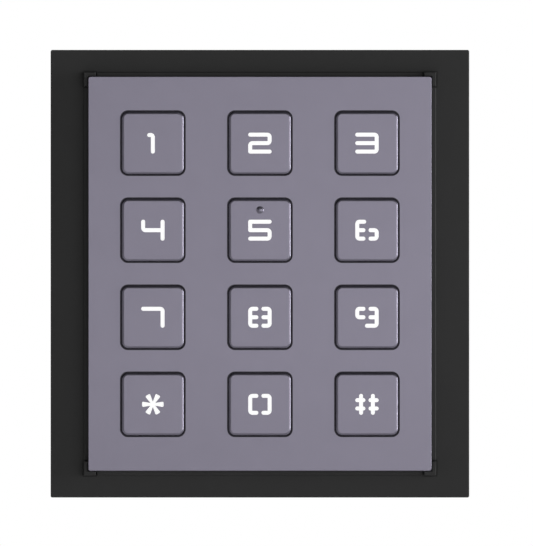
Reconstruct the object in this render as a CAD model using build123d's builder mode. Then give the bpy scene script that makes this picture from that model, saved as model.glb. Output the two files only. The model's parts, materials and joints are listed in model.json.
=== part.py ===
"""Twelve-key keypad module for a modular door station, as an assembly of its separate pieces.

The frame has +Z up and the keys facing -Y. The origin is the centre of the flat back of the rear
housing. Heights are measured from that back face towards the front, so height h lies at y = -h.
"""

from build123d import *

import os

# Overall outline, in millimetres
FLANGE_W, FLANGE_H = 93.7, 100.2
FLANGE_CORNER, FLANGE_EDGE = 0.4, 0.25
PLATE_W, PLATE_H = 76.7, 88.1
PLATE_CORNER, PLATE_EDGE = 0.5, 0.12
LEDGE = 1.05  # width of black moulding seen around the face plate
LAND_W, LAND_H = PLATE_W + 2 * LEDGE, PLATE_H + 2 * LEDGE
TUB_W, TUB_H = 87.0, 94.0
TUB_WALL, TUB_FLOOR, TUB_CORNER, TUB_EDGE = 3.0, 2.2, 3.0, 1.0
BAY_W, BAY_H = TUB_W - 2 * TUB_WALL, TUB_H - 2 * TUB_WALL

# Gaps: between faces that rest on each other, in locating fits, and round parts that only pass
TOUCH, SNUG, LOOSE = 0.05, 0.15, 0.3

# Stack of heights, back to front
INTERFACE_BOARD = 10.0
BOARD_T = 1.6
KEY_BOARD = 22.9
MAT = KEY_BOARD + BOARD_T
MAT_T = 1.0
SEAT = MAT + MAT_T  # where the two housings meet
FLANGE_BACK = SEAT + 0.3  # rear of the flange's rim, which bears on the mounting box
FLANGE_FACE = 28.0
LAND_TOP = 28.9
GASKET_T = 0.3
PLATE = LAND_TOP + GASKET_T
PLATE_FACE = 31.5
LUG_TOP = 30.4
KEY_TOP = 31.9

# Keys
COLUMNS = (-23.92, 0.0, 23.92)
ROWS = (29.18, 9.73, -9.73, -29.18)
SYMBOLS = (("1", "2", "3"), ("4", "5", "6"), ("7", "8", "9"), ("star", "0", "hash"))
KEYS = [(SYMBOLS[r][c], (COLUMNS[c], ROWS[r])) for r in range(4) for c in range(3)]
KEY_SPOTS = [spot for _, spot in KEYS]
HOLE_SIZE, HOLE_CORNER = 14.67, 1.8
KEY_SIZE, KEY_CORNER = 13.95, 1.45
KEY_EDGE = 0.55
KEY_CAP_T = 1.2
KEY_FLANGE, KEY_FLANGE_CORNER = 15.8, 2.2
KEY_BASE, KEY_FLANGE_TOP = 28.2, 29.15
KEY_CAVITY, KEY_CAVITY_CORNER = 11.5, 1.05
GUIDE_RECESS = 0.04  # the light guide's face stands this far below the key's
WINDOW, WINDOW_CORNER = 16.4, 2.4
DOT_RADIUS, DOT_RISE, DOT_UP = 0.85, 0.3, 4.5  # the raised dot on the 5

# Numerals: rounded strokes on a small grid, bridged so that no island of metal falls out
STROKE = 0.85
STROKE_CLEARANCE = 0.04
BEND = 0.52
L, C, R = -2.17, 0.0, 2.17
T, M, B = 1.89, 0.0, -1.89
BRIDGE = 0.79  # where a stroke stops beside the bridge at the middle
NUMERALS = {
    "1": [[(-0.82, 1.8), (C, T), (C, B)]],
    "2": [[(L, T), (R, T), (R, M), (L, M), (L, B), (R, B)]],
    "3": [[(L, T), (R, T), (R, B), (L, B)], [(L, M), (R, M)]],
    "4": [[(L, T), (L, M), (R, M)], [(R, T), (R, B)]],
    "5": [[(R, T), (L, T), (L, M), (R, M), (R, B), (L, B)]],
    "6": [
        [(-0.62, T), (L, T), (L, B), (-BRIDGE, B)],
        [(L, M), (-BRIDGE, M)],
        [(BRIDGE, M), (R, M), (R, B), (BRIDGE, B)],
    ],
    "7": [[(L, T), (R, T), (R, B)]],
    "8": [
        [(-BRIDGE, T), (L, T), (L, B), (-BRIDGE, B)],
        [(L, M), (-BRIDGE, M)],
        [(BRIDGE, T), (R, T), (R, B), (BRIDGE, B)],
        [(R, M), (BRIDGE, M)],
    ],
    "9": [
        [(-BRIDGE, T), (L, T), (L, M), (-BRIDGE, M)],
        [(BRIDGE, T), (R, T), (R, B), (C, B)],
        [(R, M), (BRIDGE, M)],
    ],
    "0": [
        [(-BRIDGE, T), (L, T), (L, B), (-BRIDGE, B)],
        [(BRIDGE, T), (R, T), (R, B), (BRIDGE, B)],
    ],
}
SQUARE_CORNERS = {"2": [(L, B)], "5": [(L, T), (L, M)]}
HASH_COLUMN, HASH_ROW = 1.32, 0.93
PETAL_REACH, PETAL_TIP, PETAL_WAIST, PETAL_CORNER = 2.38, 0.6, 0.2, 0.25

# Corner lugs that register the cover frame's aperture
LUG_ALONG_X, LUG_ALONG_Z = 2.7, 3.2
LUG_GROOVE = 0.3
LUG_FLOOR = 27.75

# Fasteners
PLATE_SCREWS = [(x, z) for x in (-35.4, 35.4) for z in (-19.45, 19.45)] + [(-11.96, 0), (11.96, 0)]
BOARD_SCREWS = [(x, z) for x in (-11.96, 11.96) for z in (-29.18, 29.18)]
POST_SPOTS = [(x, z) for x in (-29.5, 29.5) for z in (-33.0, 33.0)]
PILLAR_SPOTS = [(x, z) for x in (-36.9, 36.9) for z in (-40.6, 40.6)]
PILLAR_R = 3.8
SHANK_R, SHANK_HOLE_R = 1.0, 1.03
HEAD_R, HEAD_T = 1.9, 1.4
CASE_SHANK_R, CASE_SHANK_HOLE_R, CASE_HEAD_R, CASE_HEAD_T = 1.3, 1.33, 2.4, 1.8
CASE_RECESS_R, CASE_RECESS_DEPTH = 2.8, 7.5
CROSS_SPAN, CROSS_WIDTH, CROSS_DEPTH = 1.3, 0.28, 0.7  # the first two as shares of the head's radius
PLATE_SCREW_TIP, BOARD_SCREW_TIP, POST_SCREW_TIP, CASE_SCREW_TIP = 30.5, 28.0, 4.0, 28.0  # heights

# Rear interfaces
SOCKET_SPOTS = {"bus_socket_in": (-19.8, 29.0), "bus_socket_out": (19.8, 29.0)}
SOCKET_W, SOCKET_H, SOCKET_BACK = 12.8, 7.4, 0.6
SOCKET_MOUTH_W, SOCKET_MOUTH_H, SOCKET_FLOOR, SOCKET_KEY_W = 10.8, 5.2, 9.0, 3.0
SURROUND_W, SURROUND_H, SURROUND_CORNER, SURROUND_DEPTH = 17.5, 11.5, 1.5, 0.5
PIN_SIZE, PIN_PITCH, PIN_COUNT, PIN_TIP = 0.64, 2.0, 4, 5.6
SWITCH_Z = -24.0
SWITCH_W, SWITCH_H, SWITCH_BACK = 11.4, 6.2, 6.8
LEVER_PITCH, LEVER_COUNT, LEVER_TRAVEL = 2.54, 4, 1.1
LEVER_W, LEVER_H, LEVER_TIP = 1.1, 1.4, 5.9
COVER_W, COVER_H, COVER_T, COVER_CORNER = 21.0, 15.0, 0.9, 2.0
COVER_BACK, COVER_EDGE = 0.05, 0.3
FINGER_W, FINGER_H = 7.0, 3.2
GRIP_COUNT, GRIP_PITCH, GRIP_W, GRIP_H, GRIP_DEPTH = 4, 1.2, 9.0, 0.6, 0.35
PLUG_W, PLUG_H, PLUG_CORNER, PLUG_DEPTH, PLUG_WALL = 16.8, 10.8, 1.35, 2.5, 1.3
LABEL_W, LABEL_H, LABEL_CORNER, LABEL_Z = 44.0, 12.0, 1.0, 14.0
LABEL_BACK, LABEL_T = 0.1, 0.12


def level(height):
    """The plane at that height above the back: its x is X, its y is Z and its normal points forwards."""
    return Plane.XZ.offset(height)


def section(spot):
    """A plane through a key's own axis, whose x is the radius and whose y is the height."""
    return Plane(origin=(spot[0], 0, spot[1]), x_dir=(1, 0, 0), z_dir=(0, 0, -1))


def spin_axis(spot):
    return Axis((spot[0], 0, spot[1]), (0, -1, 0))


os.makedirs("parts", exist_ok=True)


def save(part, name):
    part.label = name
    export_step(part, f"parts/{name}.step")


def stroke(points, width, square=()):
    """One pen stroke with round ends, added to the sketch in progress."""
    with BuildLine() as pen:
        if len(points) == 2:
            Line(*points)
        else:
            bends = [0 if point in square else BEND for point in points[1:-1]]
            FilletPolyline(*points, radius=bends)
        offset(amount=width / 2)
    make_face(pen.edges())


def star(gain):
    """Six petals, each widening to a blunt tip."""
    reach, tip, waist = (size + gain / 2 for size in (PETAL_REACH, PETAL_TIP, PETAL_WAIST))
    with BuildSketch(mode=Mode.PRIVATE) as petal:
        with BuildLine():
            FilletPolyline((0, -waist), (reach, -tip), (reach, tip), (0, waist), radius=PETAL_CORNER)
            Line((0, waist), (0, -waist))
        make_face()
    with PolarLocations(0, 6):
        add(petal.sketch)


def hash_sign(width):
    """Two uprights with four half bars, so that the middle stays bridged."""
    for side in (-1, 1):
        stroke([(side * HASH_COLUMN, T), (side * HASH_COLUMN, B)], width)
        for row in (-HASH_ROW, HASH_ROW):
            stroke([(side * BRIDGE, row), (side * R, row)], width)


def legend(symbol, gain):
    """The outline of a key's symbol, centred on the origin, with its strokes widened by gain."""
    with BuildSketch() as outline:
        if symbol == "star":
            star(gain)
        elif symbol == "hash":
            hash_sign(STROKE + gain)
        else:
            for points in NUMERALS[symbol]:
                stroke(points, STROKE + gain, SQUARE_CORNERS.get(symbol, ()))
    return outline.sketch


def make_key(symbol, spot):
    """Metal key cap: a retaining flange behind the plate, a hollow body and a symbol cut right through."""
    outline = legend(symbol, STROKE_CLEARANCE)
    with BuildPart() as key:
        with BuildSketch(level(KEY_BASE)):
            with Locations(spot):
                RectangleRounded(KEY_SIZE, KEY_SIZE, KEY_CORNER)
        extrude(amount=KEY_TOP - KEY_BASE)
        fillet(key.faces().sort_by(Axis.Y)[0].edges(), radius=KEY_EDGE)
        with BuildSketch(level(KEY_BASE)):
            with Locations(spot):
                RectangleRounded(KEY_FLANGE, KEY_FLANGE, KEY_FLANGE_CORNER)
        extrude(amount=KEY_FLANGE_TOP - KEY_BASE)
        if symbol == "5":
            ball_r = (DOT_RADIUS**2 + DOT_RISE**2) / (2 * DOT_RISE)
            with Locations((spot[0], -(KEY_TOP + DOT_RISE - ball_r), spot[1] + DOT_UP)):
                Sphere(ball_r)
        with BuildSketch(level(KEY_BASE)):
            with Locations(spot):
                RectangleRounded(KEY_CAVITY, KEY_CAVITY, KEY_CAVITY_CORNER)
        extrude(amount=KEY_TOP - KEY_CAP_T - KEY_BASE, mode=Mode.SUBTRACT)
        with BuildSketch(level(KEY_BASE)):
            with Locations(spot):
                add(outline)
        extrude(amount=KEY_TOP - KEY_BASE, mode=Mode.SUBTRACT)
    return key.part


def make_light_guide(symbol, spot):
    """Translucent insert that fills the key's cavity and stands in its cut symbol."""
    outline = legend(symbol, 0)
    shoulder = KEY_TOP - KEY_CAP_T - TOUCH
    with BuildPart() as guide:
        with BuildSketch(level(KEY_BASE)):
            with Locations(spot):
                RectangleRounded(
                    KEY_CAVITY - 2 * TOUCH, KEY_CAVITY - 2 * TOUCH, KEY_CAVITY_CORNER - TOUCH
                )
        extrude(amount=shoulder - KEY_BASE)
        with BuildSketch(level(shoulder)):
            with Locations(spot):
                add(outline)
        extrude(amount=KEY_TOP - GUIDE_RECESS - shoulder)
    return guide.part


def make_screws(spots, head, head_t, head_r, shank_r, tip):
    """Pan-head screws: head is the height of the bearing face, tip that of the shank's far end."""
    forwards = tip > head
    low, high = (head - head_t, head) if forwards else (head, head + head_t)
    cross = (CROSS_SPAN * head_r, CROSS_WIDTH * head_r)
    with BuildPart() as screws:
        with BuildSketch(level(low)):
            with Locations(*spots):
                Circle(head_r)
        extrude(amount=head_t)
        with BuildSketch(level(min(head, tip))):
            with Locations(*spots):
                Circle(shank_r)
        extrude(amount=abs(tip - head))
        with BuildSketch(level(low if forwards else high - CROSS_DEPTH)):
            with Locations(*spots):
                Rectangle(*cross)
                Rectangle(*cross, rotation=90)
        extrude(amount=CROSS_DEPTH, mode=Mode.SUBTRACT)
    return screws.part


# Face plate: cast metal with a square hole for each key and six screw bosses behind
PLATE_BOSS_R, PLATE_BOSS_END, PLATE_BORE_TOP = 2.1, 27.8, 30.7
with BuildPart() as front_plate:
    with BuildSketch(level(PLATE)):
        RectangleRounded(PLATE_W, PLATE_H, PLATE_CORNER)
        with Locations(*KEY_SPOTS):
            RectangleRounded(HOLE_SIZE, HOLE_SIZE, HOLE_CORNER, mode=Mode.SUBTRACT)
    extrude(amount=PLATE_FACE - PLATE)
    plate_outline = front_plate.faces().sort_by(Axis.Y)[0].outer_wire()
    fillet(plate_outline.edges(), radius=PLATE_EDGE)
    with BuildSketch(level(PLATE_BOSS_END)):
        with Locations(*PLATE_SCREWS):
            Circle(PLATE_BOSS_R)
    extrude(amount=PLATE - PLATE_BOSS_END)
    with BuildSketch(level(PLATE_BOSS_END)):
        with Locations(*PLATE_SCREWS):
            Circle(SHANK_HOLE_R)
    extrude(amount=PLATE_BORE_TOP - PLATE_BOSS_END, mode=Mode.SUBTRACT)
save(front_plate.part, "front_plate")

# Foam gasket between the plate and the housing
GASKET_INSET = 0.8
with BuildPart() as plate_gasket:
    with BuildSketch(level(LAND_TOP)):
        RectangleRounded(PLATE_W - 2 * GASKET_INSET, PLATE_H - 2 * GASKET_INSET, PLATE_CORNER)
        with Locations(*KEY_SPOTS):
            RectangleRounded(WINDOW + LOOSE, WINDOW + LOOSE, WINDOW_CORNER, mode=Mode.SUBTRACT)
        with Locations(*PLATE_SCREWS):
            Circle(PLATE_BOSS_R + LOOSE, mode=Mode.SUBTRACT)
    extrude(amount=GASKET_T)
save(plate_gasket.part, "plate_gasket")

# Front housing: flange, rear pad, raised land, corner lugs, spigot ribs, key windows and screw bosses
PAD_MARGIN = 0.2
SPIGOT_T, SPIGOT_DEPTH = 1.3, 2.0
SPIGOT_X, SPIGOT_Z = (BAY_W - SPIGOT_T) / 2 - SNUG, (BAY_H - SPIGOT_T) / 2 - SNUG
SPIGOT_ALONG_X, SPIGOT_ALONG_Z = 64.0, 71.0
PLATE_WEB_LOW, PLATE_WEB_HIGH = 27.1, 27.7
BOARD_BOSS_R, PILOT_TOP = 2.3, 28.2
LUG_EDGE = 0.15
CORNERS = [(x, z) for x in (-1, 1) for z in (-1, 1)]
with BuildPart() as front_housing:
    with BuildSketch(level(FLANGE_BACK)):
        RectangleRounded(FLANGE_W, FLANGE_H, FLANGE_CORNER)
    extrude(amount=FLANGE_FACE - FLANGE_BACK)
    fillet(front_housing.faces().sort_by(Axis.Y)[0].edges(), radius=FLANGE_EDGE)
    with BuildSketch(level(FLANGE_FACE)):
        Rectangle(LAND_W, LAND_H)
    extrude(amount=LAND_TOP - FLANGE_FACE)
    chamfer(front_housing.faces().sort_by(Axis.Y)[0].edges(), length=LUG_EDGE)
    with BuildSketch(level(SEAT)):
        RectangleRounded(TUB_W + 2 * PAD_MARGIN, TUB_H + 2 * PAD_MARGIN, TUB_CORNER + PAD_MARGIN)
    extrude(amount=FLANGE_BACK - SEAT)
    # a groove round each corner lug, then the lug standing in it
    for top, margin, mode in (
        (LAND_TOP, LUG_GROOVE, Mode.SUBTRACT),
        (LUG_TOP, 0.0, Mode.ADD),
    ):
        with BuildSketch(level(LUG_FLOOR)):
            for x, z in CORNERS:
                with Locations((x * (LAND_W - LUG_ALONG_X) / 2, z * (LAND_H - LUG_ALONG_Z) / 2)):
                    Rectangle(LUG_ALONG_X + 2 * margin, LUG_ALONG_Z + 2 * margin)
            Rectangle(PLATE_W + SNUG, PLATE_H + SNUG, mode=Mode.SUBTRACT)
        extrude(amount=top - LUG_FLOOR, mode=mode)
    chamfer(front_housing.faces().group_by(Axis.Y)[0].edges(), length=LUG_EDGE)
    with BuildSketch(level(SEAT)):
        with Locations(*KEY_SPOTS):
            RectangleRounded(WINDOW, WINDOW, WINDOW_CORNER)
    extrude(amount=LAND_TOP - SEAT, mode=Mode.SUBTRACT)
    # stepped holes for the plate's bosses and, from behind, its screws
    for low, high, radius in (
        (SEAT, PLATE_WEB_LOW, HEAD_R + LOOSE),
        (PLATE_WEB_LOW, PLATE_WEB_HIGH, SHANK_R + SNUG),
        (PLATE_WEB_HIGH, LAND_TOP, PLATE_BOSS_R + LOOSE),
    ):
        with BuildSketch(level(low)):
            with Locations(*PLATE_SCREWS):
                Circle(radius)
        extrude(amount=high - low, mode=Mode.SUBTRACT)
    with BuildSketch(level(SEAT - SPIGOT_DEPTH)):
        with Locations((0, SPIGOT_Z), (0, -SPIGOT_Z)):
            Rectangle(SPIGOT_ALONG_X, SPIGOT_T)
        with Locations((SPIGOT_X, 0), (-SPIGOT_X, 0)):
            Rectangle(SPIGOT_T, SPIGOT_ALONG_Z)
    extrude(amount=SPIGOT_DEPTH)
    with BuildSketch(level(MAT)):
        with Locations(*BOARD_SCREWS):
            Circle(BOARD_BOSS_R)
    extrude(amount=MAT_T)
    with BuildSketch(level(MAT)):
        with Locations(*BOARD_SCREWS):
            Circle(SHANK_HOLE_R)
    extrude(amount=PILOT_TOP - MAT, mode=Mode.SUBTRACT)
    with BuildSketch(level(SEAT)):
        with Locations(*PILLAR_SPOTS):
            Circle(CASE_SHANK_HOLE_R)
    extrude(amount=PILOT_TOP - SEAT, mode=Mode.SUBTRACT)
save(front_housing.part, "front_housing")

# Keys and the light guides inside them
for name, place in KEYS:
    save(make_key(name, place), f"key_{name}")
    save(make_light_guide(name, place), f"light_guide_{name}")

# Silicone mat: a sealing web with a skirted boss under each key
BOSS_R, BOSS_TOP, SKIRT_TOP, SKIRT_R = 4.6, KEY_BASE - TOUCH, 27.0, 6.9
CAVITY_R, CAVITY_RIM, CAVITY_TOP, CAVITY_TOP_R = 6.1, 24.9, 26.4, 3.8
NUB_R, NUB_END = 1.2, 24.9
MAT_W, MAT_H, NOTCH_R = 73.0, 81.0, PILLAR_R + LOOSE
with BuildPart() as key_mat:
    with BuildSketch(level(MAT)):
        Rectangle(MAT_W, MAT_H)
        with Locations(*PILLAR_SPOTS):
            Circle(NOTCH_R, mode=Mode.SUBTRACT)
        with Locations(*BOARD_SCREWS):
            Circle(BOARD_BOSS_R + SNUG, mode=Mode.SUBTRACT)
    extrude(amount=MAT_T)
    for place in KEY_SPOTS:
        with BuildSketch(section(place)):
            Polygon(
                (0, MAT),
                (SKIRT_R, MAT),
                (SKIRT_R, SEAT),
                (BOSS_R, SKIRT_TOP),
                (BOSS_R, BOSS_TOP),
                (0, BOSS_TOP),
                align=None,
            )
        revolve(axis=spin_axis(place))
        with BuildSketch(section(place)):
            Polygon(
                (0, MAT),
                (CAVITY_R, MAT),
                (CAVITY_R, CAVITY_RIM),
                (CAVITY_TOP_R, CAVITY_TOP),
                (NUB_R, CAVITY_TOP),
                (NUB_R, NUB_END),
                (0, NUB_END),
                align=None,
            )
        revolve(axis=spin_axis(place), mode=Mode.SUBTRACT)
save(key_mat.part, "key_mat")

# Snap domes: one sprung metal disc under each boss
DOME_R, DOME_SHOULDER_R, DOME_CROWN_R = 4.0, 2.7, 1.2
DOME_SHOULDER, DOME_RISE, DOME_T = 0.27, 0.36, 0.12
with BuildPart() as snap_domes:
    for place in KEY_SPOTS:
        with BuildSketch(section(place)):
            Polygon(
                (DOME_R, MAT),
                (DOME_R, MAT + DOME_T),
                (DOME_SHOULDER_R, MAT + DOME_SHOULDER),
                (DOME_CROWN_R, MAT + DOME_RISE),
                (0, MAT + DOME_RISE),
                (0, MAT + DOME_RISE - DOME_T),
                (DOME_CROWN_R, MAT + DOME_RISE - DOME_T),
                (DOME_SHOULDER_R, MAT + DOME_SHOULDER - DOME_T),
                (DOME_R - 0.4, MAT),
                align=None,
            )
        revolve(axis=spin_axis(place))
save(snap_domes.part, "snap_domes")

# Key board with a backlight beside each dome
LED_W, LED_H, LED_T, LED_UP = 1.6, 0.8, 0.5, 4.9
KEY_BOARD_W, KEY_BOARD_H = 77.0, 84.0
with BuildPart() as key_board:
    with BuildSketch(level(KEY_BOARD)):
        Rectangle(KEY_BOARD_W, KEY_BOARD_H)
        with Locations(*PILLAR_SPOTS):
            Circle(NOTCH_R, mode=Mode.SUBTRACT)
        with Locations(*BOARD_SCREWS):
            Circle(SHANK_R + SNUG, mode=Mode.SUBTRACT)
    extrude(amount=BOARD_T)
save(key_board.part, "key_board")

with BuildPart() as backlight_leds:
    with BuildSketch(level(MAT)):
        with Locations(*[(x, z + LED_UP) for x, z in KEY_SPOTS]):
            Rectangle(LED_W, LED_H)
    extrude(amount=LED_T)
save(backlight_leds.part, "backlight_leds")

# Interface board on four posts, with the parts it carries
INTERFACE_BOARD_W, INTERFACE_BOARD_H = 67.0, 74.0
INTERFACE_FRONT = INTERFACE_BOARD + BOARD_T
with BuildPart() as interface_board:
    with BuildSketch(level(INTERFACE_BOARD)):
        Rectangle(INTERFACE_BOARD_W, INTERFACE_BOARD_H)
        with Locations(*POST_SPOTS):
            Circle(SHANK_R + SNUG, mode=Mode.SUBTRACT)
    extrude(amount=BOARD_T)
save(interface_board.part, "interface_board")

# Surface-mounted parts stand a little off the board on leads
CHIP_STANDOFF, CHIP_T, LEAD_T = 0.1, 1.4, 0.3
CHIP_SPOT, CHIP_SIZE, CHIP_EDGE = (-14.0, -8.0), 10.0, 0.25
CHIP_LEADS, CHIP_LEAD_PITCH, CHIP_LEAD_W, CHIP_LEAD_REACH = 11, 0.8, 0.35, 1.2
with BuildPart() as controller_chip:
    with BuildSketch(level(INTERFACE_FRONT + CHIP_STANDOFF)):
        with Locations(CHIP_SPOT):
            Rectangle(CHIP_SIZE, CHIP_SIZE)
    extrude(amount=CHIP_T)
    chamfer(controller_chip.faces().sort_by(Axis.Y)[0].edges(), length=CHIP_EDGE)
    lead_centre = CHIP_SIZE / 2 + CHIP_LEAD_REACH / 3
    with BuildSketch(level(INTERFACE_FRONT)):
        with Locations(CHIP_SPOT):
            for side in (-1, 1):
                with Locations((0, side * lead_centre)):
                    with GridLocations(CHIP_LEAD_PITCH, 1, CHIP_LEADS, 1):
                        Rectangle(CHIP_LEAD_W, CHIP_LEAD_REACH)
                with Locations((side * lead_centre, 0)):
                    with GridLocations(1, CHIP_LEAD_PITCH, 1, CHIP_LEADS):
                        Rectangle(CHIP_LEAD_REACH, CHIP_LEAD_W)
    extrude(amount=LEAD_T)
save(controller_chip.part, "controller_chip")

LINE_CHIP_SPOT, LINE_CHIP_W, LINE_CHIP_H = (14.0, 16.0), 4.9, 3.9
LINE_LEADS, LINE_LEAD_PITCH, LINE_ROW_GAP, LINE_LEAD_W, LINE_LEAD_REACH = 4, 1.27, 5.0, 0.42, 1.3
with BuildPart() as transceiver_chip:
    with BuildSketch(level(INTERFACE_FRONT + CHIP_STANDOFF)):
        with Locations(LINE_CHIP_SPOT):
            Rectangle(LINE_CHIP_W, LINE_CHIP_H)
    extrude(amount=CHIP_T)
    with BuildSketch(level(INTERFACE_FRONT)):
        with Locations(LINE_CHIP_SPOT):
            with GridLocations(LINE_LEAD_PITCH, LINE_ROW_GAP, LINE_LEADS, 2):
                Rectangle(LINE_LEAD_W, LINE_LEAD_REACH)
    extrude(amount=LEAD_T)
save(transceiver_chip.part, "transceiver_chip")

CAN_SPOTS, CAN_R, CAN_RISE, CAN_BASE, CAN_BASE_T = [(18.0, -6.0), (26.0, -6.0)], 3.15, 7.7, 6.6, 0.8
with BuildPart() as filter_capacitors:
    with BuildSketch(level(INTERFACE_FRONT)):
        with Locations(*CAN_SPOTS):
            Rectangle(CAN_BASE, CAN_BASE)
    extrude(amount=CAN_BASE_T)
    with BuildSketch(level(INTERFACE_FRONT)):
        with Locations(*CAN_SPOTS):
            Circle(CAN_R)
    extrude(amount=CAN_RISE)
save(filter_capacitors.part, "filter_capacitors")

# Two-part link between the boards
LINK_Z, LINK_COLUMNS, LINK_ROWS, LINK_PITCH = 4.0, 5, 2, 2.54
LINK_W, LINK_H, LINK_SPLIT, LINK_PIN_TIP = 13.0, 5.2, 14.2, 20.6
with BuildPart() as link_header:
    with BuildSketch(level(INTERFACE_FRONT)):
        with Locations((0, LINK_Z)):
            Rectangle(LINK_W, LINK_H)
    extrude(amount=LINK_SPLIT - INTERFACE_FRONT)
    with BuildSketch(level(LINK_SPLIT)):
        with Locations((0, LINK_Z)):
            with GridLocations(LINK_PITCH, LINK_PITCH, LINK_COLUMNS, LINK_ROWS):
                Rectangle(PIN_SIZE, PIN_SIZE)
    extrude(amount=LINK_PIN_TIP - LINK_SPLIT)
save(link_header.part, "link_header")

with BuildPart() as link_socket:
    with BuildSketch(level(LINK_SPLIT + TOUCH)):
        with Locations((0, LINK_Z)):
            Rectangle(LINK_W, LINK_H)
    extrude(amount=KEY_BOARD - LINK_SPLIT - TOUCH)
    with BuildSketch(level(LINK_SPLIT)):
        with Locations((0, LINK_Z)):
            with GridLocations(LINK_PITCH, LINK_PITCH, LINK_COLUMNS, LINK_ROWS):
                Rectangle(PIN_SIZE + 2 * SNUG, PIN_SIZE + 2 * SNUG)
    extrude(amount=LINK_PIN_TIP + LOOSE - LINK_SPLIT, mode=Mode.SUBTRACT)
save(link_socket.part, "link_socket")

# Bus sockets behind the interface board, each with a keying slot in its lower wall and four pins
for name, place in SOCKET_SPOTS.items():
    with BuildPart() as bus_socket:
        with BuildSketch(level(SOCKET_BACK)):
            with Locations(place):
                Rectangle(SOCKET_W, SOCKET_H)
        extrude(amount=INTERFACE_BOARD - SOCKET_BACK)
        with BuildSketch(level(SOCKET_BACK)):
            with Locations(place):
                Rectangle(SOCKET_MOUTH_W, SOCKET_MOUTH_H)
            with Locations((place[0], place[1] - SOCKET_H / 2)):
                Rectangle(SOCKET_KEY_W, SOCKET_H - SOCKET_MOUTH_H)
        extrude(amount=SOCKET_FLOOR - SOCKET_BACK, mode=Mode.SUBTRACT)
    save(bus_socket.part, name)

with BuildPart() as bus_pins:
    with BuildSketch(level(PIN_TIP)):
        with Locations(*SOCKET_SPOTS.values()):
            with GridLocations(PIN_PITCH, 1, PIN_COUNT, 1):
                Rectangle(PIN_SIZE, PIN_SIZE)
    extrude(amount=SOCKET_FLOOR - PIN_TIP)
    chamfer(bus_pins.faces().group_by(Axis.Y)[-1].edges(), length=SNUG)
save(bus_pins.part, "bus_pins")

# Address switch: a body with four slots and a lever at the lower end of each
LEVER_SPOTS = [
    ((n - (LEVER_COUNT - 1) / 2) * LEVER_PITCH, SWITCH_Z - LEVER_TRAVEL / 2)
    for n in range(LEVER_COUNT)
]
SLOT_W, SLOT_H, SLOT_FLOOR, LEVER_EDGE = LEVER_W + 0.2, LEVER_H + LEVER_TRAVEL + 0.2, 8.0, 0.2
with BuildPart() as address_switch:
    with BuildSketch(level(SWITCH_BACK)):
        with Locations((0, SWITCH_Z)):
            Rectangle(SWITCH_W, SWITCH_H)
    extrude(amount=INTERFACE_BOARD - SWITCH_BACK)
    with BuildSketch(level(SWITCH_BACK)):
        with Locations((0, SWITCH_Z)):
            with GridLocations(LEVER_PITCH, 1, LEVER_COUNT, 1):
                Rectangle(SLOT_W, SLOT_H)
    extrude(amount=SLOT_FLOOR - SWITCH_BACK, mode=Mode.SUBTRACT)
save(address_switch.part, "address_switch")

for number, place in enumerate(LEVER_SPOTS, start=1):
    with BuildPart() as address_lever:
        with BuildSketch(level(LEVER_TIP)):
            with Locations(place):
                Rectangle(LEVER_W, LEVER_H)
        extrude(amount=SLOT_FLOOR - TOUCH - LEVER_TIP)
        chamfer(address_lever.faces().sort_by(Axis.Y)[-1].edges(), length=LEVER_EDGE)
    save(address_lever.part, f"address_lever_{number}")

# Rubber cover over the address switch: a flanged plug with a hollow middle and finger grooves behind
with BuildPart() as address_cover:
    with BuildSketch(level(COVER_BACK)):
        with Locations((0, SWITCH_Z)):
            RectangleRounded(COVER_W - 2 * SNUG, COVER_H - 2 * SNUG, COVER_CORNER - SNUG)
    extrude(amount=COVER_T)
    fillet(address_cover.faces().sort_by(Axis.Y)[-1].edges(), radius=COVER_EDGE)
    with BuildSketch(level(COVER_BACK + COVER_T)):
        with Locations((0, SWITCH_Z)):
            RectangleRounded(PLUG_W - 2 * SNUG, PLUG_H - 2 * SNUG, PLUG_CORNER - SNUG)
            Rectangle(PLUG_W - 2 * PLUG_WALL, PLUG_H - 2 * PLUG_WALL, mode=Mode.SUBTRACT)
    extrude(amount=PLUG_DEPTH)
    with BuildSketch(level(COVER_BACK)):
        with Locations((0, SWITCH_Z - COVER_H / 4)):
            with GridLocations(1, GRIP_PITCH, 1, GRIP_COUNT):
                SlotOverall(GRIP_W, GRIP_H)
    extrude(amount=GRIP_DEPTH, mode=Mode.SUBTRACT)
save(address_cover.part, "address_cover")

# Blank label in a shallow recess
with BuildPart() as blank_label:
    with BuildSketch(level(LABEL_BACK)):
        with Locations((0, LABEL_Z)):
            RectangleRounded(LABEL_W - 2 * LOOSE, LABEL_H - 2 * LOOSE, LABEL_CORNER)
    extrude(amount=LABEL_T)
save(blank_label.part, "blank_label")

# Housing seal in the groove of the rear housing's rim
GROOVE_W, GROOVE_DEPTH = 1.3, 1.0
SEAL_MID_W, SEAL_MID_H = TUB_W - TUB_WALL, TUB_H - TUB_WALL
SEAL_CORNER = TUB_CORNER - TUB_WALL / 2
SEAL_T = GROOVE_W - 2 * TOUCH
with BuildPart() as housing_seal:
    with BuildSketch(level(SEAT - GROOVE_DEPTH)):
        RectangleRounded(SEAL_MID_W + SEAL_T, SEAL_MID_H + SEAL_T, SEAL_CORNER + SEAL_T / 2)
        RectangleRounded(
            SEAL_MID_W - SEAL_T, SEAL_MID_H - SEAL_T, SEAL_CORNER - SEAL_T / 2, mode=Mode.SUBTRACT
        )
    extrude(amount=GROOVE_DEPTH)
save(housing_seal.part, "housing_seal")

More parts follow.
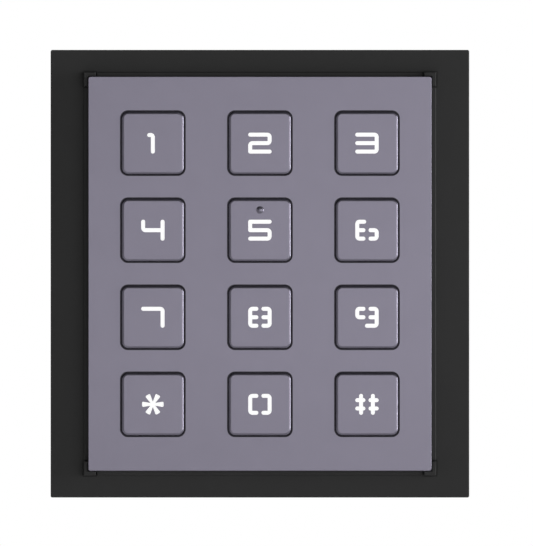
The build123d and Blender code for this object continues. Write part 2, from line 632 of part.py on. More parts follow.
# Rear housing: tub with corner pillars, board posts, guide ribs and the rear openings
POST_R, POST_HOLE_BOTTOM = 2.8, 3.0
RIB_W, RIB_RISE, RIB_BACK, RIB_FRONT, RIB_Z = 3.0, 1.4, 5.0, 23.0, 26.0
BAY_CORNER = 1.2
MARK_Z, MARK_DEPTH = 40.0, 0.4  # moulded arrows: into and out of the bus sockets, and the way up
STEM_W, STEM_LENGTH, HEAD_W, HEAD_LENGTH = 1.0, 2.6, 3.4, 2.8
UP_MARK_R = 2.8
EJECTOR_SPOTS = [(x, z) for x in (-32.0, 32.0) for z in (-10.0, 10.0)] + [(-16.0, -39.0), (16.0, -39.0)]
EJECTOR_R, EJECTOR_DEPTH = 2.2, 0.15
with BuildPart() as rear_housing:
    with BuildSketch(level(0)):
        RectangleRounded(TUB_W, TUB_H, TUB_CORNER)
    extrude(amount=SEAT)
    fillet(rear_housing.faces().sort_by(Axis.Y)[-1].edges(), radius=TUB_EDGE)
    with BuildSketch(level(RIB_BACK)):
        with Locations(*[(x * TUB_W / 2, z * RIB_Z) for x, z in CORNERS]):
            Rectangle(2 * RIB_RISE, RIB_W)
    extrude(amount=RIB_FRONT - RIB_BACK)
    with BuildSketch(level(TUB_FLOOR)):
        RectangleRounded(BAY_W, BAY_H, BAY_CORNER)
    extrude(amount=SEAT - TUB_FLOOR, mode=Mode.SUBTRACT)
    with BuildSketch(level(TUB_FLOOR)):
        with Locations(*PILLAR_SPOTS):
            Circle(PILLAR_R)
    extrude(amount=SEAT - TUB_FLOOR)
    with BuildSketch(level(TUB_FLOOR)):
        with Locations(*POST_SPOTS):
            Circle(POST_R)
    extrude(amount=INTERFACE_BOARD - TUB_FLOOR)
    with BuildSketch(level(POST_HOLE_BOTTOM)):
        with Locations(*POST_SPOTS):
            Circle(SHANK_HOLE_R)
    extrude(amount=INTERFACE_BOARD - POST_HOLE_BOTTOM, mode=Mode.SUBTRACT)
    # stepped holes for the case screws
    for depth, radius in ((CASE_RECESS_DEPTH, CASE_RECESS_R), (SEAT, CASE_SHANK_R + SNUG)):
        with BuildSketch(level(0)):
            with Locations(*PILLAR_SPOTS):
                Circle(radius)
        extrude(amount=depth, mode=Mode.SUBTRACT)
    # openings for the sockets, each in a shallow surround, and for the cover's plug
    with BuildSketch(level(0)):
        with Locations(*SOCKET_SPOTS.values()):
            Rectangle(SOCKET_W + 2 * LOOSE, SOCKET_H + 2 * LOOSE)
        with Locations((0, SWITCH_Z)):
            RectangleRounded(PLUG_W, PLUG_H, PLUG_CORNER)
    extrude(amount=TUB_FLOOR, mode=Mode.SUBTRACT)
    with BuildSketch(level(0)):
        with Locations(*SOCKET_SPOTS.values()):
            RectangleRounded(SURROUND_W, SURROUND_H, SURROUND_CORNER)
    extrude(amount=SURROUND_DEPTH, mode=Mode.SUBTRACT)
    with BuildSketch(level(0)):
        with Locations((0, SWITCH_Z)):
            RectangleRounded(COVER_W, COVER_H, COVER_CORNER)
        with Locations((0, SWITCH_Z - COVER_H / 2)):
            SlotOverall(FINGER_W, FINGER_H)
    extrude(amount=COVER_BACK + COVER_T, mode=Mode.SUBTRACT)
    with BuildSketch(level(0)):
        with Locations((0, LABEL_Z)):
            RectangleRounded(LABEL_W, LABEL_H, LABEL_CORNER)
    extrude(amount=LABEL_BACK + LABEL_T, mode=Mode.SUBTRACT)
    with BuildSketch(level(0)):
        for name, turn in (("bus_socket_in", 180), ("bus_socket_out", 0)):
            with Locations(Location((SOCKET_SPOTS[name][0], MARK_Z, 0), (0, 0, turn))):
                with Locations((0, -STEM_LENGTH / 2)):
                    Rectangle(STEM_W, STEM_LENGTH)
                Polygon((-HEAD_W / 2, 0), (HEAD_W / 2, 0), (0, HEAD_LENGTH), align=None)
        with Locations((0, MARK_Z)):
            RegularPolygon(UP_MARK_R, 3, rotation=90)
    extrude(amount=MARK_DEPTH, mode=Mode.SUBTRACT)
    with BuildSketch(level(0)):
        with Locations(*EJECTOR_SPOTS):
            Circle(EJECTOR_R)
    extrude(amount=EJECTOR_DEPTH, mode=Mode.SUBTRACT)
    with BuildSketch(level(SEAT - GROOVE_DEPTH)):
        RectangleRounded(SEAL_MID_W + GROOVE_W, SEAL_MID_H + GROOVE_W, SEAL_CORNER + GROOVE_W / 2)
        RectangleRounded(
            SEAL_MID_W - GROOVE_W, SEAL_MID_H - GROOVE_W, SEAL_CORNER - GROOVE_W / 2, mode=Mode.SUBTRACT
        )
    extrude(amount=GROOVE_DEPTH, mode=Mode.SUBTRACT)
save(rear_housing.part, "rear_housing")

# Screws: the plate's, the key board's and the case's from behind, the interface board's from the front
save(make_screws(PLATE_SCREWS, PLATE_WEB_LOW, HEAD_T, HEAD_R, SHANK_R, PLATE_SCREW_TIP), "plate_screws")
save(make_screws(BOARD_SCREWS, KEY_BOARD, HEAD_T, HEAD_R, SHANK_R, BOARD_SCREW_TIP), "key_board_screws")
save(
    make_screws(POST_SPOTS, INTERFACE_FRONT, HEAD_T, HEAD_R, SHANK_R, POST_SCREW_TIP),
    "interface_board_screws",
)
save(
    make_screws(PILLAR_SPOTS, CASE_RECESS_DEPTH, CASE_HEAD_T, CASE_HEAD_R, CASE_SHANK_R, CASE_SCREW_TIP),
    "housing_screws",
)
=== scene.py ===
"""Looks for the twelve-key keypad module: materials, small moulded and soldered detail, light and camera.

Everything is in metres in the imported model's own frame: +Z up, the keys facing -Y, y = 0 at the back.
"""

import json
import math

import bmesh
import bpy
from mathutils import Matrix, Vector


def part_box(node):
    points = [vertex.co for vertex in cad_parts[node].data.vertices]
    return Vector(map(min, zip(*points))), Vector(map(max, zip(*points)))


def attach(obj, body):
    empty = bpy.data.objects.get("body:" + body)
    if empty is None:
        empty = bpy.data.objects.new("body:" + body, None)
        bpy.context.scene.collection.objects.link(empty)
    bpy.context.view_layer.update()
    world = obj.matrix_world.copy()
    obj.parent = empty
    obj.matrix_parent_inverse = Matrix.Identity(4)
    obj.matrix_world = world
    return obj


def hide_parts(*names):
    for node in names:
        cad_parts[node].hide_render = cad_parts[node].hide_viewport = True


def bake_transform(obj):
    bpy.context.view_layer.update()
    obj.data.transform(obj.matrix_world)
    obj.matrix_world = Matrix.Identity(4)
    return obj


MM = 0.001
EDGE_SAMPLES, AIR_SAMPLES = 6, 12  # rays for each edge painted lighter (rubbed wear and painted highlight) and for each look at how open a place is (for the painted shade in gaps)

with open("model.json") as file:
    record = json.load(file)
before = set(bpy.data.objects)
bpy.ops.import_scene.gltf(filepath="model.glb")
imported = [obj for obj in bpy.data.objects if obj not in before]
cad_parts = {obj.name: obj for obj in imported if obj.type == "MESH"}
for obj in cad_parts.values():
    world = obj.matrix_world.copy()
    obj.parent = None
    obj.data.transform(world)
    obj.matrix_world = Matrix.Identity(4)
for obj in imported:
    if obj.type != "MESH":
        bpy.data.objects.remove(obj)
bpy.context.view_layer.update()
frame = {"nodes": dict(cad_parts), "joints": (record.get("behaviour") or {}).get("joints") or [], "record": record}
NODES = frame["nodes"]


class Shader:
    """A node material under construction, with short calls for the nodes used here."""

    def __init__(self, name):
        self.material = bpy.data.materials.new(name)
        self.material.use_nodes = True
        self.nodes = self.material.node_tree.nodes
        self.nodes.clear()
        self.bsdf = self.nodes.new("ShaderNodeBsdfPrincipled")
        output = self.nodes.new("ShaderNodeOutputMaterial")
        self.link(self.bsdf.outputs["BSDF"], output.inputs["Surface"])
        self.place = self.nodes.new("ShaderNodeTexCoord").outputs["Object"]

    def link(self, source, target):
        """Joins an output socket to an input socket."""
        self.material.node_tree.links.new(source, target)

    def set(self, **values):
        """Sets sockets of the main shader: a plain value, or another node's output to link."""
        for key, value in values.items():
            self.put(self.bsdf.inputs[key.replace("_", " ").title().replace("Ior", "IOR")], value)
        return self

    def put(self, socket, value):
        """Gives an input socket a plain value, or links another node's output to it."""
        if isinstance(value, bpy.types.NodeSocket):
            self.link(value, socket)
        elif isinstance(value, tuple) and len(value) == 3 and socket.type == "RGBA":
            socket.default_value = (*value, 1.0)
        else:
            socket.default_value = value

    def stretched(self, scale):
        """The object's own coordinates, scaled by a different factor along each axis."""
        node = self.nodes.new("ShaderNodeMapping")
        self.link(self.place, node.inputs["Vector"])
        node.inputs["Scale"].default_value = scale
        return node.outputs["Vector"]

    def noise(self, size, detail=3.0, roughness=0.55, place=None):
        """Noise whose blotches are about that size, in metres."""
        node = self.nodes.new("ShaderNodeTexNoise")
        self.link(place or self.place, node.inputs["Vector"])
        node.inputs["Scale"].default_value = 1.0 / size
        node.inputs["Detail"].default_value = detail
        node.inputs["Roughness"].default_value = roughness
        return node.outputs["Fac"]

    def cells(self, size):
        """Distance to the nearest of a scatter of points that far apart."""
        node = self.nodes.new("ShaderNodeTexVoronoi")
        self.link(self.place, node.inputs["Vector"])
        node.inputs["Scale"].default_value = 1.0 / size
        return node.outputs["Distance"]

    def range(self, value, low, high, new_low=0.0, new_high=1.0):
        """A value carried from one range to another and held at its ends."""
        node = self.nodes.new("ShaderNodeMapRange")
        self.link(value, node.inputs["Value"])
        ends = {"From Min": low, "From Max": high, "To Min": new_low, "To Max": new_high}
        for key, number in ends.items():
            node.inputs[key].default_value = number
        return node.outputs["Result"]

    def math(self, operation, a, b):
        """Two values put together by one of Blender's named operations."""
        node = self.nodes.new("ShaderNodeMath")
        node.operation = operation
        self.put(node.inputs[0], a)
        self.put(node.inputs[1], b)
        return node.outputs["Value"]

    def mix(self, factor, a, b):
        """Colour a where factor is 0, and colour b where it is 1."""
        node = self.nodes.new("ShaderNodeMix")
        node.data_type = "RGBA"
        for key, value in (("Factor", factor), ("A", a), ("B", b)):
            kind = "VALUE" if key == "Factor" else "RGBA"
            socket = next(s for s in node.inputs if s.name == key and s.type == kind)
            self.put(socket, value)
        return next(s for s in node.outputs if s.type == "RGBA")

    def rounded_edge_mask(self, radius):
        """1 on faces and falling towards 0 on the rounded-over part of a sharp edge."""
        bevel = self.nodes.new("ShaderNodeBevel")
        bevel.samples = EDGE_SAMPLES
        bevel.inputs["Radius"].default_value = radius
        geometry = self.nodes.new("ShaderNodeNewGeometry")
        dot = self.nodes.new("ShaderNodeVectorMath")
        dot.operation = "DOT_PRODUCT"
        self.link(bevel.outputs["Normal"], dot.inputs[0])
        self.link(geometry.outputs["Normal"], dot.inputs[1])
        return dot.outputs["Value"]

    def faces_forwards(self):
        """1 where the surface looks straight along Y, less where it rounds away."""
        split = self.nodes.new("ShaderNodeSeparateXYZ")
        self.link(self.nodes.new("ShaderNodeNewGeometry").outputs["Normal"], split.inputs["Vector"])
        return self.math("ABSOLUTE", split.outputs["Y"], 0.0)

    def open_to_air(self, reach):
        """0 deep in a gap narrower than reach, 1 out on an open face."""
        node = self.nodes.new("ShaderNodeAmbientOcclusion")
        node.samples = AIR_SAMPLES
        node.inputs["Distance"].default_value = reach
        return node.outputs["AO"]

    def bump(self, height, depth, strength=1.0):
        """The normal of a surface with a relief of that depth, in metres."""
        node = self.nodes.new("ShaderNodeBump")
        node.inputs["Distance"].default_value = depth
        node.inputs["Strength"].default_value = strength
        self.link(height, node.inputs["Height"])
        return node.outputs["Normal"]


def satin_metal():
    """Cast metal, blasted fine and anodised a purplish grey, painted a little lighter on its edges (rubbed wear
    and a painted highlight) and darker deep in narrow gaps (painted shade).
    """
    shader = Shader("satin_metal")
    cloud = shader.noise(14 * MM, 2.0)
    grain = shader.noise(0.09 * MM, 2.0)
    tone = shader.mix(shader.range(cloud, 0.3, 0.7), (0.235, 0.22, 0.28), (0.239, 0.224, 0.285))
    tone = shader.mix(shader.range(grain, 0.35, 0.75, 0.0, 0.1), tone, (0.30, 0.285, 0.34))
    # Edges painted lighter: partly rubbed wear, partly a painted highlight along the rims of the plate and the key
    # holes.
    wear_and_painted_highlight = shader.range(shader.rounded_edge_mask(0.12 * MM), 0.97, 0.75, 0.0, 0.35)
    tone = shader.mix(wear_and_painted_highlight, tone, (0.42, 0.41, 0.45))
    # Painted shade: the colour goes nearly black deep in narrow gaps, such as the slots round the keys, where
    # shade falls.
    painted_gap_shade = shader.range(shader.open_to_air(1.2 * MM), 0.62, 0.22)
    tone = shader.mix(painted_gap_shade, tone, (0.02, 0.018, 0.025))
    rough = shader.range(shader.noise(3 * MM), 0.3, 0.7, 0.358, 0.368)
    polish = shader.range(shader.faces_forwards(), 0.7, 0.99, 0.68, 1.0)
    rough = shader.math("MULTIPLY", rough, polish)
    relief = shader.bump(grain, 0.006 * MM, 0.6)
    return shader.set(base_color=tone, metallic=0.75, roughness=rough, normal=relief).material


def black_plastic():
    """Black moulding with a spark-eroded texture; its edges are painted lighter, partly as rubbed wear and partly
    as a painted highlight.
    """
    shader = Shader("black_plastic")
    pits = shader.noise(0.28 * MM, 2.0, 0.6)
    cloud = shader.noise(18 * MM, 3.0)
    low, high = (0.0255, 0.0255, 0.0255), (0.0285, 0.0285, 0.0283)
    tone = shader.mix(shader.range(cloud, 0.3, 0.7), low, high)
    # Edges painted lighter: partly rubbed wear, partly a painted highlight along the flange's rims.
    wear_and_painted_highlight = shader.range(shader.rounded_edge_mask(0.15 * MM), 0.98, 0.7, 0.0, 0.4)
    tone = shader.mix(wear_and_painted_highlight, tone, (0.05, 0.05, 0.049))
    rough = shader.range(pits, 0.3, 0.7, 0.56, 0.66)
    relief = shader.bump(pits, 0.012 * MM, 0.7)
    shader.set(base_color=tone, roughness=rough, normal=relief, specular_ior_level=0.36)
    return shader.material


def light_guide():
    """Milky acrylic, lit from behind, so that the numerals glow a clean white."""
    shader = Shader("light_guide")
    haze = shader.noise(1.6 * MM, 2.0)
    tone = shader.mix(shader.range(haze, 0.3, 0.7), (0.45, 0.45, 0.45), (0.5, 0.5, 0.5))
    shader.set(base_color=tone, roughness=0.3, emission_color=(1.0, 1.0, 1.0), emission_strength=0.72)
    return shader.set(subsurface_weight=0.3, subsurface_radius=(0.5 * MM,) * 3).material


def plain(name, low, high, size, rough=(0.4, 0.55), grain=0.3 * MM, depth=0.008 * MM, **more):
    """A material whose tone drifts between two colours over patches of that size, with a fine relief."""
    shader = Shader(name)
    tone = shader.mix(shader.range(shader.noise(size), 0.3, 0.7), low, high)
    fine = shader.noise(grain, 2.0)
    shader.set(base_color=tone, roughness=shader.range(fine, 0.3, 0.7, *rough))
    return shader.set(normal=shader.bump(fine, depth, 0.6), **more).material


def circuit_board():
    """Solder mask over a web of copper tracks and a scatter of plated holes."""
    shader = Shader("circuit_board")
    across = shader.noise(2.2 * MM, 0.0, 0.5, shader.stretched((1.0, 1.0, 0.12)))
    along = shader.noise(2.2 * MM, 0.0, 0.5, shader.stretched((0.12, 1.0, 1.0)))
    tracks = shader.math("MAXIMUM", shader.range(across, 0.52, 0.54), shader.range(along, 0.54, 0.56))
    holes = shader.range(shader.cells(3.4 * MM), 0.12, 0.09)
    tone = shader.mix(tracks, (0.006, 0.055, 0.022), (0.012, 0.11, 0.04))
    tone = shader.mix(holes, tone, (0.55, 0.5, 0.32))
    relief = shader.bump(tracks, 0.035 * MM)
    return shader.set(base_color=tone, roughness=0.28, normal=relief).material


def spun_steel(name, tone):
    """Bright metal with fine streaks that run along Y."""
    shader = Shader(name)
    lines = shader.noise(0.12 * MM, 2.0, 0.5, shader.stretched((1.0, 0.15, 1.0)))
    low = tuple(0.85 * part for part in tone)
    shader.set(base_color=shader.mix(lines, low, tone), metallic=1.0)
    rough = shader.range(lines, 0.3, 0.7, 0.25, 0.38)
    return shader.set(roughness=rough, normal=shader.bump(lines, 0.004 * MM)).material


def make_materials():
    """One finished material for each of the record's slots."""
    return {
        "satin_metal": satin_metal(),
        "black_plastic": black_plastic(),
        "light_guide": light_guide(),
        "circuit_board": circuit_board(),
        "screw_steel": spun_steel("screw_steel", (0.5, 0.5, 0.48)),
        "spring_steel": spun_steel("spring_steel", (0.66, 0.65, 0.62)),
        "capacitor_can": spun_steel("capacitor_can", (0.72, 0.72, 0.73)),
        "contact_gold": plain(
            "contact_gold", (0.72, 0.5, 0.16), (0.8, 0.58, 0.22), 1 * MM, (0.18, 0.26), metallic=1.0
        ),
        "gasket_foam": plain(
            "gasket_foam", (0.012,) * 3, (0.022,) * 3, 0.6 * MM, (0.85, 0.95), depth=0.05 * MM
        ),
        "silicone": plain("silicone", (0.3, 0.3, 0.31), (0.36, 0.36, 0.37), 6 * MM, (0.45, 0.55)),
        "led_resin": plain("led_resin", (0.8, 0.78, 0.62), (0.86, 0.84, 0.7), 0.5 * MM, (0.15, 0.25)),
        "connector_black": plain("connector_black", (0.014,) * 3, (0.022,) * 3, 4 * MM, (0.4, 0.5)),
        "connector_white": plain(
            "connector_white", (0.68, 0.65, 0.56), (0.76, 0.73, 0.64), 4 * MM, (0.35, 0.45)
        ),
        "chip_resin": plain("chip_resin", (0.018,) * 3, (0.03,) * 3, 2 * MM, (0.5, 0.65), 0.15 * MM),
        "switch_body": plain("switch_body", (0.3, 0.018, 0.014), (0.38, 0.024, 0.02), 3 * MM, (0.35, 0.45)),
        "lever_white": plain("lever_white", (0.78, 0.78, 0.75), (0.86, 0.86, 0.83), 1 * MM, (0.3, 0.4)),
        "label_film": plain("label_film", (0.42, 0.42, 0.415), (0.46, 0.46, 0.455), 9 * MM, (0.38, 0.46)),
        "cover_rubber": plain("cover_rubber", (0.016,) * 3, (0.026,) * 3, 5 * MM, (0.6, 0.75), 0.2 * MM),
    }


def dress_nodes(materials):
    """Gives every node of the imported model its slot's finished material."""
    for entry in frame["record"]["subparts"]:
        mesh = NODES[entry["node"]].data
        mesh.materials.clear()
        mesh.materials.append(materials[entry["material_slot"]])


def add_block(shape, centre, size, edge=0.0):
    """Adds a cuboid, with rounded edges if edge isn't zero, to a mesh under construction."""
    corners = bmesh.ops.create_cube(shape, size=1.0)["verts"]
    bmesh.ops.scale(shape, vec=size, verts=corners)
    bmesh.ops.translate(shape, vec=centre, verts=corners)
    if edge:
        edges = {side for corner in corners for side in corner.link_edges}
        bmesh.ops.bevel(shape, geom=list(edges), offset=edge, segments=2, affect="EDGES", profile=0.5)


def add_solder(shape, centre, facing, foot, tip, height):
    """Adds a joint of solder that narrows from its foot on the board to its tip; facing is 1 or -1 in y."""
    turn = Matrix.Rotation(-facing * math.pi / 2, 4, "X")
    place = Matrix.Translation(Vector(centre) + Vector((0.0, facing * height / 2, 0.0))) @ turn
    bmesh.ops.create_cone(
        shape, cap_ends=True, segments=20, radius1=foot, radius2=tip, depth=height, matrix=place
    )


def make_object(name, shape, material):
    """Turns a mesh under construction into an object of one material."""
    mesh = bpy.data.meshes.new(name)
    shape.to_mesh(mesh)
    shape.free()
    mesh.materials.append(material)
    made = bpy.data.objects.new(name, mesh)
    bpy.context.scene.collection.objects.link(made)
    return made


def finish_piece(name, shape, material):
    """Turns a mesh under construction into a piece that rides on the housing."""
    piece = make_object(name, shape, material)
    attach(piece, "housing")


# The silicone mat: its flat web, the height over which a boss's skirt gives way, and a boss's reach
WEB_T, SKIRT_RISE, BOSS_REACH = 1.0 * MM, 1.5 * MM, 6.95 * MM
WELD = 0.001 * MM  # corners this close together are one corner
MAT_CREASE = math.radians(30)  # the mat's edges that are sharper than this aren't shaded smooth
PRESS = "_press"
KEYS = [joint["name"].removesuffix(PRESS) for joint in frame["joints"] if joint["name"].endswith(PRESS)]


def cut_mat(keep):
    """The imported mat's mesh with only the faces that keep() says yes to."""
    shape = bmesh.new()
    shape.from_mesh(NODES["key_mat"].data)
    bmesh.ops.remove_doubles(shape, verts=shape.verts, dist=WELD)
    spare = [face for face in shape.faces if not keep(face)]
    bmesh.ops.delete(shape, geom=spare, context="FACES")
    return shape


def close_cut(shape, near):
    """Adds the wall between the two rims that one cut left in a mesh, where near() says they are."""
    rims = [edge for edge in shape.edges if edge.is_boundary and near(edge)]
    bmesh.ops.bridge_loops(shape, edges=rims)


def finish_mat_piece(name, shape, material):
    """Turns a part cut from the mat into a piece that stands in for it."""
    bmesh.ops.recalc_face_normals(shape, faces=shape.faces)
    piece = make_object(name, shape, material)
    piece.data.shade_smooth()
    piece.data.set_sharp_from_angle(angle=MAT_CREASE)
    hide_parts("key_mat")
    return piece


def make_mat(materials):
    """The silicone mat: a web that stays with the housing, and under each key a boss, the part that gives way
    under a press, cut out as a piece of its own that is left where it stands.
    """

    def near(key):
        """A test of whether all of a face or an edge lies within a boss's reach of a key's axis."""
        low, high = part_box(key)
        middle = (low + high) / 2
        return lambda part: all(
            math.hypot(corner.co.x - middle.x, corner.co.z - middle.z) < BOSS_REACH for corner in part.verts
        )

    tests = {key: near(key) for key in KEYS}
    web = cut_mat(lambda face: not any(test(face) for test in tests.values()))
    for test in tests.values():
        close_cut(web, test)
    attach(finish_mat_piece("mat_web", web, materials["silicone"]), "housing")
    for key, test in tests.items():
        boss = cut_mat(test)
        close_cut(boss, test)
        piece = finish_mat_piece("mat_boss" + key.removeprefix("key"), boss, materials["silicone"])
        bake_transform(piece)


# The label's print: its lines, its margin, and the boxes and ruled lines to write in
LINE_W, INK_T = 0.25 * MM, 0.03 * MM
LABEL_MARGIN = 1.1 * MM
WRITE_BOX, WRITE_BOXES, WRITE_GAP = 5.2 * MM, 4, 1.0 * MM
WRITE_LINES = 2


def add_outline(shape, left, bottom, right, top, y):
    """Four printed bars round a rectangle, meeting at their ends."""
    width, height = right - left, top - bottom
    for z in (bottom + LINE_W / 2, top - LINE_W / 2):
        add_block(shape, ((left + right) / 2, y, z), (width, INK_T, LINE_W))
    for x in (left + LINE_W / 2, right - LINE_W / 2):
        add_block(shape, (x, y, (bottom + top) / 2), (LINE_W, INK_T, height - 2 * LINE_W))


def make_label_print(materials):
    """A frame, four write-in boxes for the address and two ruled lines, all left blank."""
    low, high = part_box("blank_label")
    y = high.y + INK_T / 2
    middle = (low.z + high.z) / 2
    shape = bmesh.new()
    frame_left, frame_right = low.x + LABEL_MARGIN, high.x - LABEL_MARGIN
    add_outline(shape, frame_left, low.z + LABEL_MARGIN, frame_right, high.z - LABEL_MARGIN, y)
    for number in range(WRITE_BOXES):
        left = frame_left + 2 * WRITE_GAP + number * (WRITE_BOX + WRITE_GAP)
        add_outline(shape, left, middle - WRITE_BOX / 2, left + WRITE_BOX, middle + WRITE_BOX / 2, y)
    rule_left, rule_right = left + WRITE_BOX + 2 * WRITE_GAP, frame_right - 2 * WRITE_GAP
    for number in range(WRITE_LINES):
        z = middle - WRITE_BOX / 2 + LINE_W / 2 + number * WRITE_BOX / 2
        add_block(shape, ((rule_left + rule_right) / 2, y, z), (rule_right - rule_left, INK_T, LINE_W))
    finish_piece("label_print", shape, materials["connector_black"])


# Surface-mounted parts: body length, width and height, the length of each metal end, and edge
PART_LENGTH, PART_WIDTH, PART_HEIGHT = 1.6 * MM, 0.8 * MM, 0.5 * MM
END_LENGTH, PART_EDGE = 0.32 * MM, 0.05 * MM
# Where they sit on the two faces of the interface board, as x and z in millimetres
BACK_RESISTORS = [(x, -28.6) for x in (-3.81, -1.27, 1.27, 3.81)] + [(x, -18.6) for x in (-5.0, 5.0)]
BACK_CAPACITORS = [(-8.5, -24.0), (8.5, -24.0), (-19.0, 20.0), (19.0, 20.0)]
FRONT_RESISTORS = [(x, 26.0) for x in (-22.0, -18.0, -14.0, -10.0, -6.0)]
FRONT_RESISTORS += [(x, 10.5) for x in (9.0, 13.0, 17.0)]
FRONT_CAPACITORS = [(-24.0, -8.0), (-4.5, -8.0), (-14.0, 3.0), (-14.0, -19.0), (14.0, 21.5)]


def make_small_parts(name, spots, y, facing, body_material, materials):
    """Chip resistors or capacitors on a board's face at y, which looks along facing."""
    bodies, ends = bmesh.new(), bmesh.new()
    for x, z in spots:
        centre = Vector((x * MM, y + facing * PART_HEIGHT / 2, z * MM))
        add_block(bodies, centre, (PART_LENGTH - 2 * END_LENGTH, PART_HEIGHT, PART_WIDTH), PART_EDGE)
        for side in (-1, 1):
            reach = Vector((side * (PART_LENGTH - END_LENGTH) / 2, 0.0, 0.0))
            add_block(ends, centre + reach, (END_LENGTH, PART_HEIGHT, PART_WIDTH), PART_EDGE)
    finish_piece(name, bodies, body_material)
    finish_piece(name + "_ends", ends, materials["spring_steel"])


# Solder joints, and the spacing of the pins that they hold
SOLDER_FOOT, SOLDER_TIP, SOLDER_HEIGHT = 0.75 * MM, 0.3 * MM, 0.6 * MM
SOCKET_PIN_PITCH, SOCKET_PINS = 2.0 * MM, 4
LINK_PIN_PITCH, LINK_COLUMNS, LINK_ROWS = 2.54 * MM, 5, 2


def make_solder(materials):
    """Joints where the bus sockets' pins and the link's pins come through the interface board."""
    board_low, board_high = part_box("interface_board")
    shape = bmesh.new()
    for socket in ("bus_socket_in", "bus_socket_out"):
        low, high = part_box(socket)
        for number in range(SOCKET_PINS):
            x = (low.x + high.x) / 2 + (number - (SOCKET_PINS - 1) / 2) * SOCKET_PIN_PITCH
            joint = (x, board_low.y, (low.z + high.z) / 2)
            add_solder(shape, joint, -1, SOLDER_FOOT, SOLDER_TIP, SOLDER_HEIGHT)
    low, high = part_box("link_header")
    for column in range(LINK_COLUMNS):
        for row in range(LINK_ROWS):
            x = (low.x + high.x) / 2 + (column - (LINK_COLUMNS - 1) / 2) * LINK_PIN_PITCH
            z = (low.z + high.z) / 2 + (row - (LINK_ROWS - 1) / 2) * LINK_PIN_PITCH
            add_solder(shape, (x, board_high.y, z), 1, SOLDER_FOOT, SOLDER_TIP, SOLDER_HEIGHT)
    finish_piece("solder_joints", shape, materials["spring_steel"])


def make_board_detail(materials):
    """Small parts on both faces of the interface board."""
    low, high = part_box("interface_board")
    ceramic = plain("ceramic", (0.42, 0.3, 0.18), (0.5, 0.36, 0.22), 1 * MM, (0.35, 0.45))
    resistor = plain("resistor_glaze", (0.012,) * 3, (0.02,) * 3, 1 * MM, (0.2, 0.3))
    for name, spots, y, facing in (
        ("front", (FRONT_RESISTORS, FRONT_CAPACITORS), low.y, -1),
        ("back", (BACK_RESISTORS, BACK_CAPACITORS), high.y, 1),
    ):
        make_small_parts(f"resistors_{name}", spots[0], y, facing, resistor, materials)
        make_small_parts(f"capacitors_{name}", spots[1], y, facing, ceramic, materials)
    make_solder(materials)


# Framing: the module a little left of centre in a square-on, very long-lens view
VIEW_HEIGHT = 0.12206
CAMERA_DISTANCE = 2.0
CAMERA_RIGHT, CAMERA_UP = 0.00147, 0.00016
SENSOR_WIDTH = 36.0
CLIP_START, CLIP_END = 0.1, 20.0
FACE_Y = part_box("front_housing")[0].y


def make_camera():
    """A camera square on to the keys."""
    data = bpy.data.cameras.new("camera")
    data.sensor_width = SENSOR_WIDTH
    data.lens = SENSOR_WIDTH * CAMERA_DISTANCE / VIEW_HEIGHT
    data.clip_start, data.clip_end = CLIP_START, CLIP_END
    camera = bpy.data.objects.new("camera", data)
    camera.location = (CAMERA_RIGHT, FACE_Y - CAMERA_DISTANCE, CAMERA_UP)
    camera.rotation_euler = (math.pi / 2, 0.0, 0.0)
    bpy.context.scene.collection.objects.link(camera)
    bpy.context.scene.camera = camera


# Soft lights: name, azimuth and elevation in degrees, distance, width and height in metres, power in watts
LIGHTS = [
    ("front_fill", 2, 0, 2.6, 1.0, 1.0, 6.3),
    ("side_key", 32, 0, 1.8, 1.2, 0.8, 6.6),
    ("edge_strip", 75, 0, 1.4, 0.35, 1.0, 12.0),
    ("left_fill", -60, 0, 1.8, 1.0, 1.0, 2.0),
    ("back_fill", 205, 35, 1.8, 1.4, 1.4, 30.0),
    ("back_low", 150, 10, 1.8, 1.2, 1.2, 15.0),
]


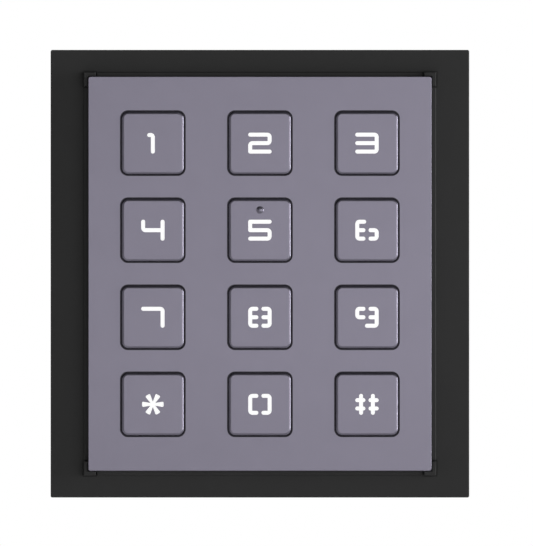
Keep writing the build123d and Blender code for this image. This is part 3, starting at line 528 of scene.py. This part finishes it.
def softbox(name, azimuth, elevation, distance, width, height, power):
    """A soft white light aimed at the module; azimuth 0 is in front of the keys and 90 to their right."""
    data = bpy.data.lights.new(name, "AREA")
    data.shape = "RECTANGLE"
    data.size, data.size_y = width, height
    data.energy = power
    light = bpy.data.objects.new(name, data)
    turn, lift = math.radians(azimuth), math.radians(elevation)
    away = Vector((math.sin(turn) * math.cos(lift), -math.cos(turn) * math.cos(lift), math.sin(lift)))
    light.location = Vector((0.0, FACE_Y, 0.0)) + away * distance
    light.rotation_mode = "QUATERNION"
    light.rotation_quaternion = away.to_track_quat("Z", "Y")
    light.visible_camera = False
    bpy.context.scene.collection.objects.link(light)


SEEN_WHITE, LIGHT_GREY = (1.0, 1.0, 1.0, 1.0), (0.03, 0.03, 0.03, 1.0)


def make_world():
    """White to the eye, as in a cut-out product picture, and dim as a light."""
    world = bpy.data.worlds.new("studio")
    bpy.context.scene.world = world
    world.use_nodes = True
    nodes, links = world.node_tree.nodes, world.node_tree.links
    nodes.clear()
    seen = nodes.new("ShaderNodeBackground")
    seen.inputs["Color"].default_value = SEEN_WHITE
    dim = nodes.new("ShaderNodeBackground")
    dim.inputs["Color"].default_value = LIGHT_GREY
    path = nodes.new("ShaderNodeLightPath")
    mix = nodes.new("ShaderNodeMixShader")
    output = nodes.new("ShaderNodeOutputWorld")
    links.new(path.outputs["Is Camera Ray"], mix.inputs["Fac"])
    links.new(dim.outputs["Background"], mix.inputs[1])
    links.new(seen.outputs["Background"], mix.inputs[2])
    links.new(mix.outputs["Shader"], output.inputs["Surface"])
    bpy.context.scene.view_settings.view_transform = "Standard"


FLOOR_Z, FLOOR_RADIUS, FLOOR_CORNERS = -0.12, 0.6, 128


def make_floor():
    """A pale round floor, below what the front view takes in."""
    bpy.ops.mesh.primitive_circle_add(vertices=FLOOR_CORNERS, radius=FLOOR_RADIUS, fill_type="NGON")
    floor = bpy.context.object
    floor.name = "floor"
    floor.location = (0.0, 0.0, FLOOR_Z)
    tone = plain("floor_paint", (0.8, 0.8, 0.8), (0.82, 0.82, 0.82), 0.2, (0.6, 0.7), 2 * MM, 0.02 * MM)
    floor.data.materials.append(tone)


MATERIALS = make_materials()
dress_nodes(MATERIALS)
make_mat(MATERIALS)
make_label_print(MATERIALS)
make_board_detail(MATERIALS)
make_floor()
make_world()
for light in LIGHTS:
    softbox(*light)
make_camera()
